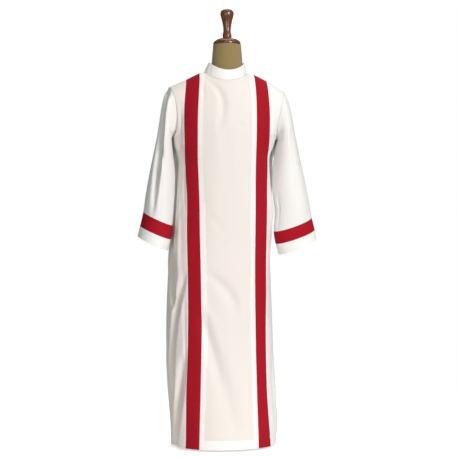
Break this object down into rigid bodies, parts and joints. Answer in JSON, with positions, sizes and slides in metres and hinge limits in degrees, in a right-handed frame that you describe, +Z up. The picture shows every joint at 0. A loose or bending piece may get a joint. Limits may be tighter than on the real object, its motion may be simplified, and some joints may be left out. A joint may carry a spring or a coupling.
{
  "type": "altar server robe on a dress form",
  "caption": "Long white altar server robe with a stand collar, wide sleeves and red bands down the front and round the sleeves, worn on a limbless dress form.",
  "frame": {"origin": "centre of the dress form base's flat underside, on the floor", "axes": "+Z up along the form's pole, -Y out of the robe's front, +X towards the wearer's left"},
  "size_m": [0.626, 0.3046, 1.5217],
  "materials": {
    "white_cloth": "soft matt plain weave, warm white",
    "red_cloth": "soft matt plain weave, deep red",
    "linen": "coarse matt linen, khaki",
    "turned_wood": "glossy reddish brown varnish"
  },
  "bodies": {
    "root": {"front_centre_panel": "white_cloth", "front_band_right": "red_cloth", "front_band_left": "red_cloth", "front_side_panel_right": "white_cloth", "front_side_panel_left": "white_cloth", "back_panel_right": "white_cloth", "back_panel_left": "white_cloth", "sleeve_right": "white_cloth", "sleeve_left": "white_cloth", "sleeve_band_right": "red_cloth", "sleeve_band_left": "red_cloth", "cuff_right": "white_cloth", "cuff_left": "white_cloth", "collar": "white_cloth", "form_torso": "linen", "form_cap": "turned_wood", "form_finial": "turned_wood", "form_pole": "turned_wood", "form_base": "turned_wood"}
  },
  "joints": []
}
